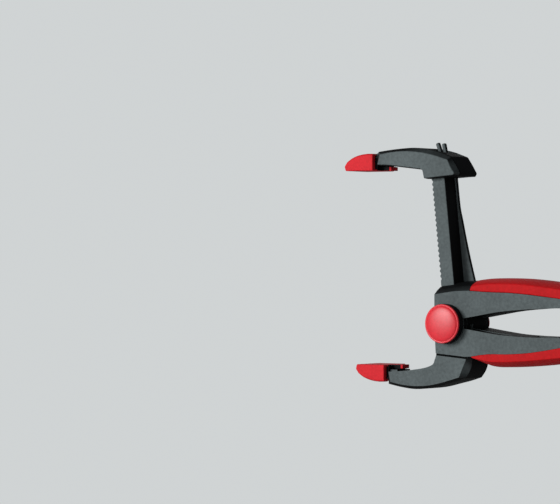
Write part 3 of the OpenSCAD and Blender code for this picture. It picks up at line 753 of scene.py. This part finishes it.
def carrier(node, place, up):
    """The stiff plate inside the toe: ears for the pin, made longer so that their black covers the
    neck's flank as painted shade, and a tail with skirts down its sides.
    """
    spot = from_pin(place, up)
    inner = TAIL_HALF - SKIRT_T
    blanks = []
    for side in (-1, 1):
        # The tail's skirt, the flange beside the toe's end, and the ear, whose black over the
        # neck's flank is painted shade
        for start, far_end, foot, top, near, out in (
                (0.05, TAIL_END - LIP_T - 0.05, 0.1 - PAD_FACE, SOLE_TOP + 0.4, inner, TAIL_HALF),
                (0.02, TOE_END + 0.8, 0.13 - PAD_FACE, -3, inner + 0.2, 6.1),
                (-0.1, TOE_END + 1.2, SOLE_TOP + 0.03, 1.5, SHADE_EAR_IN, SHADE_EAR_OUT)):
            x_low, x_high, z_low, z_high = corners(spot, (TOE_END + start, top), (far_end, foot))
            y_low, y_high = sorted((side * near, side * out))
            blanks.append(block("skirt", (x_low, y_low, z_low), (x_high, y_high, z_high)))
    fit(refined(node, 0.15, blanks=blanks), node)


def corners(spot, first, second):
    """The lowest and highest x and z of two opposite corners."""
    (xa, za), (xb, zb) = spot(*first), spot(*second)
    return min(xa, xb), max(xa, xb), min(za, zb), max(za, zb)


def cut(piece, spot, first, second, half):
    """Cuts a box out of piece, between two corners and y = half on both sides."""
    x_low, x_high, z_low, z_high = corners(spot, first, second)
    combine(piece, block("cutter", (x_low, -half, z_low), (x_high, half, z_high)), "DIFFERENCE")


def prism(name, spot, outline, half):
    """An outline of x and z, made thick to y = half on both sides."""
    points = [spot(x, z) for x, z in outline]
    return grow(name, [[row(x, y, z) for x, z in points] for y in (-half, half)])


def slab(name, spot, first, second, half):
    """A box with soft edges, between two corners and y = half on both sides."""
    x_low, x_high, z_low, z_high = corners(spot, first, second)
    made = block(name, (x_low, -half, z_low), (x_high, half, z_high))
    soften(made, 0.2)
    return made


# ---------- pivot ----------

FLOOR_Y = 12.9
COLLAR_H = 4.3
WELL_R = 6.4
WELL_FLOOR = 1.4
PIN_HOLE_R = 2.96
# Direction along y, name, outer radius and height of the dome
SIDES = ((-1, "near", HUB_R, 1.5), (1, "far", FAR_HUB_R, 1.1))


def collars_and_caps():
    """On each side a black collar with a well for the pin's end, and a domed cap pressed in."""
    foot, top = FLOOR_Y, FLOOR_Y + COLLAR_H
    for side, word, edge, dome_h in SIDES:
        collar = [(PIN_HOLE_R, foot), (edge - 0.4, foot), (edge - 0.1, foot + 0.1),
                  (edge, foot + 0.4), (edge, top - 0.5), (edge - 0.15, top - 0.15),
                  (edge - 0.5, top), (WELL_R, top), (WELL_R, foot + WELL_FLOOR),
                  (PIN_HOLE_R, foot + WELL_FLOOR)]
        fit(turned(word + "_collar_ring", collar, side), word + "_collar", angle=50)
        rim = edge - 0.1
        dome_r = rim - 0.95
        dome = [(dome_r * math.cos(a), top + 0.85 + dome_h * math.sin(a))
                for a in (math.radians(6 * k) for k in range(15))]
        plug_r = WELL_R - 0.1
        cap = [(plug_r - 1, top - 1), (plug_r, top - 1), (plug_r, top), (rim, top),
               (rim, top + 0.35), (rim - 0.06, top + 0.65), (rim - 0.22, top + 0.86),
               (rim - 0.45, top + 0.95), (rim - 0.65, top + 0.9), (rim - 0.8, top + 0.8)]
        fit(turned(word + "_cap_dome", cap + dome, side), word + "_cap", angle=60)


# ---------- spring ----------

WIRE_D = 2.4
COIL_R = 6.5
LEG_LIFT = math.radians(8)
LEG_Y = 5.0
LEG_STOPS = (1, 11, 22, 34)
COIL_TURNS = 3
STEPS_PER_TURN = 36
WIRE_SIDES = 12


def torsion_spring():
    """Round wire: three turns about the pivot, with a straight leg into each handle."""
    start = math.radians(90) + LEG_LIFT
    sweep = 2 * math.pi * COIL_TURNS + math.pi - 2 * LEG_LIFT
    steps = round(sweep / (2 * math.pi) * STEPS_PER_TURN)
    coil = [(COIL_R * math.cos(start + sweep * k / steps), LEG_Y - 2 * LEG_Y * k / steps,
             COIL_R * math.sin(start + sweep * k / steps)) for k in range(steps + 1)]

    def leg(side, t):
        """A point of a leg, at t from the coil."""
        return (t * math.cos(LEG_LIFT) - COIL_R * math.sin(LEG_LIFT), side * LEG_Y,
                side * (COIL_R * math.cos(LEG_LIFT) + t * math.sin(LEG_LIFT)))

    upper_leg = [leg(1, t) for t in reversed(LEG_STOPS)]
    lower_leg = [leg(-1, t) for t in LEG_STOPS]
    points = [Vector(p) for p in upper_leg + coil + lower_leg]
    rings = []
    for i, here in enumerate(points):
        ahead = (points[min(i + 1, len(points) - 1)] - points[max(i - 1, 0)]).normalized()
        across = (Vector((0, 1, 0)) - ahead * ahead.y).normalized()
        beside = ahead.cross(across)
        ring = []
        for k in range(WIRE_SIDES):
            a = 2 * math.pi * k / WIRE_SIDES
            out = (across * math.cos(a) + beside * math.sin(a)) * WIRE_D / 2
            ring.append(row(*(here + out)))
        rings.append(ring)
    piece = grow("spring_wire", rings)
    soften(piece, 0.3, 2, angle=60)
    fit(piece, "torsion_spring", angle=50)
    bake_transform(piece)


def finish_cad_nodes():
    """Each solid that stays on show takes its slot's finish."""
    for part in frame["record"]["subparts"]:
        shown = frame["nodes"][part["node"]]
        shown.data.materials.clear()
        shown.data.materials.append(SLOTS[part["material_slot"]])


finish_cad_nodes()
levers()
upper_grip()
lower_grip()
toothed_rail()
sliding_jaw()
pad("upper_pad", UPPER_PAD_AT, 1)
pad("lower_pad", LOWER_PAD_AT, -1)
carrier("upper_pad_carrier", UPPER_PAD_AT, 1)
carrier("lower_pad_carrier", LOWER_PAD_AT, -1)
collars_and_caps()
torsion_spring()


# ---------- stage ----------

# In metres; the camera's offsets are shares of its distance
FLOOR_R, FLOOR_Z = 0.7, -0.16
FLOOR_GLOW = 0.5
SURROUND_LIGHT = 0.18
CAMERA_TURN = math.radians(34.4)
CAMERA_DISTANCE = 1.545
CAMERA_LEFT, CAMERA_UP = 0.0599, 0.0237


def area_light(name, place, aim, size, watts):
    """A round lamp at place, turned to aim."""
    bpy.ops.object.light_add(type="AREA", location=place)
    lamp = bpy.context.object
    lamp.name = name
    lamp.data.shape = "DISK"
    lamp.data.size = size
    lamp.data.energy = watts
    lamp.rotation_mode = "QUATERNION"
    lamp.rotation_quaternion = (Vector(aim) - Vector(place)).to_track_quat("-Z", "Y")


def pale_floor():
    """Matt floor that keeps shadows, with part of the surround's tone when looked at."""
    material = moulded("pale_floor", (0.62, 0.63, 0.63), 0.8, 0.1, 300.0, shade=0.02, wear=0.0,
                       specular=0.0)
    tree = material.node_tree
    principled = tree.nodes["Principled BSDF"]
    seen = add(tree, "ShaderNodeLightPath").outputs["Is Camera Ray"]
    principled.inputs["Emission Color"].default_value = SURROUND
    put(tree, principled.inputs["Emission Strength"], maths(tree, "MULTIPLY", seen, FLOOR_GLOW))
    return material


def floor_disc():
    """The floor, which lies below what the main view shows."""
    bpy.ops.mesh.primitive_circle_add(vertices=96, radius=FLOOR_R, fill_type="NGON",
                                      location=(0.06, 0, FLOOR_Z))
    floor = bpy.context.object
    floor.name = "floor"
    floor.data.materials.append(pale_floor())


def surround():
    """A pale backdrop that only the camera sees, and a weaker even light from all round."""
    world = bpy.data.worlds.new("surround")
    bpy.context.scene.world = world
    world.use_nodes = True
    tree = world.node_tree
    tree.nodes.clear()
    path = add(tree, "ShaderNodeLightPath")
    seen = maths(tree, "ADD", path.outputs["Is Camera Ray"], path.outputs["Is Transmission Ray"],
                 clamp=True)
    lighting = add(tree, "ShaderNodeBackground", Color=(0.95, 0.98, 1.0, 1.0),
                   Strength=SURROUND_LIGHT)
    backdrop = add(tree, "ShaderNodeBackground", Color=SURROUND, Strength=1.0)
    both = add(tree, "ShaderNodeMixShader", Fac=seen)
    put(tree, both.inputs[1], lighting.outputs[0])
    put(tree, both.inputs[2], backdrop.outputs[0])
    out = tree.nodes.new("ShaderNodeOutputWorld")
    put(tree, out.inputs[0], both.outputs[0])


def studio():
    """A pale floor, a pale surround, and soft light mostly from the front left."""
    floor_disc()
    area_light("key", (-0.62, -1.42, 0.4), (0.03, 0, 0.03), size=0.7, watts=18.5)
    area_light("fill", (0.35, -1.5, 0.1), (0.03, 0, 0.03), size=1.0, watts=1.5)
    area_light("back", (-0.75, 1.3, 0.6), (0.05, 0, 0.03), size=0.9, watts=1.5)
    surround()
    bpy.context.scene.view_settings.view_transform = "Standard"


def camera():
    """Looks level, from the handles' side, with the clamp right of the middle."""
    right = Vector((math.cos(CAMERA_TURN), math.sin(CAMERA_TURN), 0))
    ahead = Vector((-math.sin(CAMERA_TURN), math.cos(CAMERA_TURN), 0))
    place = PIVOT - ahead * CAMERA_DISTANCE - right * CAMERA_LEFT * CAMERA_DISTANCE
    place.z += CAMERA_UP * CAMERA_DISTANCE
    bpy.ops.object.camera_add(location=place)
    made = bpy.context.object
    made.name = "camera"
    made.rotation_mode = "QUATERNION"
    made.rotation_quaternion = ahead.to_track_quat("-Z", "Y")
    made.data.sensor_width = 36
    made.data.lens = 192.9
    bpy.context.scene.camera = made


studio()
camera()
